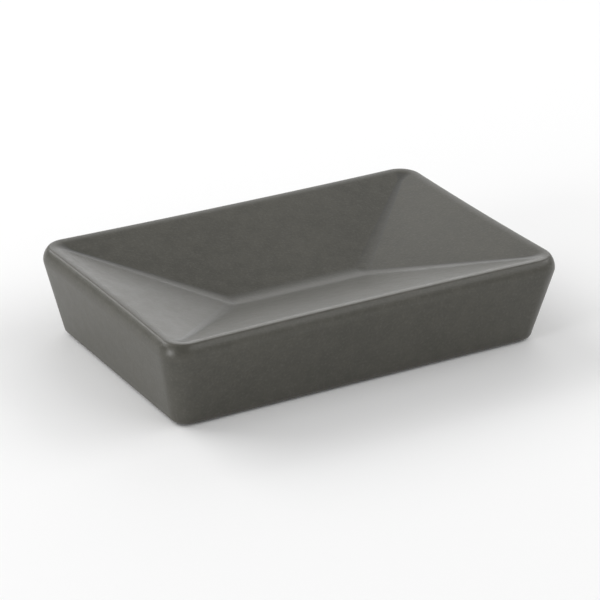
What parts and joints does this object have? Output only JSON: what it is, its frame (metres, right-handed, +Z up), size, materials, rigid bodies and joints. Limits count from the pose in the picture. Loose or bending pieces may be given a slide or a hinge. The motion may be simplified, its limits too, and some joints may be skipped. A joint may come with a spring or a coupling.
{
  "type": "soap dish",
  "caption": "Rectangular hollow-cast ceramic soap dish with outward-leaning walls, a soft rim and a basin of flat slopes meeting in a short valley, standing on rubber pads.",
  "frame": {"origin": "middle of the footprint, on the surface that the dish stands on", "axes": "+X along the dish's length, +Y across its width towards the back, +Z up"},
  "size_m": [0.1396, 0.0908, 0.0294],
  "materials": {
    "glaze": "satin anthracite glaze with a fine sandy grain",
    "rubber": "matt dark grey rubber"
  },
  "bodies": {
    "root": {"dish_body": "glaze", "pad_front_left": "rubber", "pad_front_right": "rubber", "pad_back_left": "rubber", "pad_back_right": "rubber"}
  },
  "joints": []
}
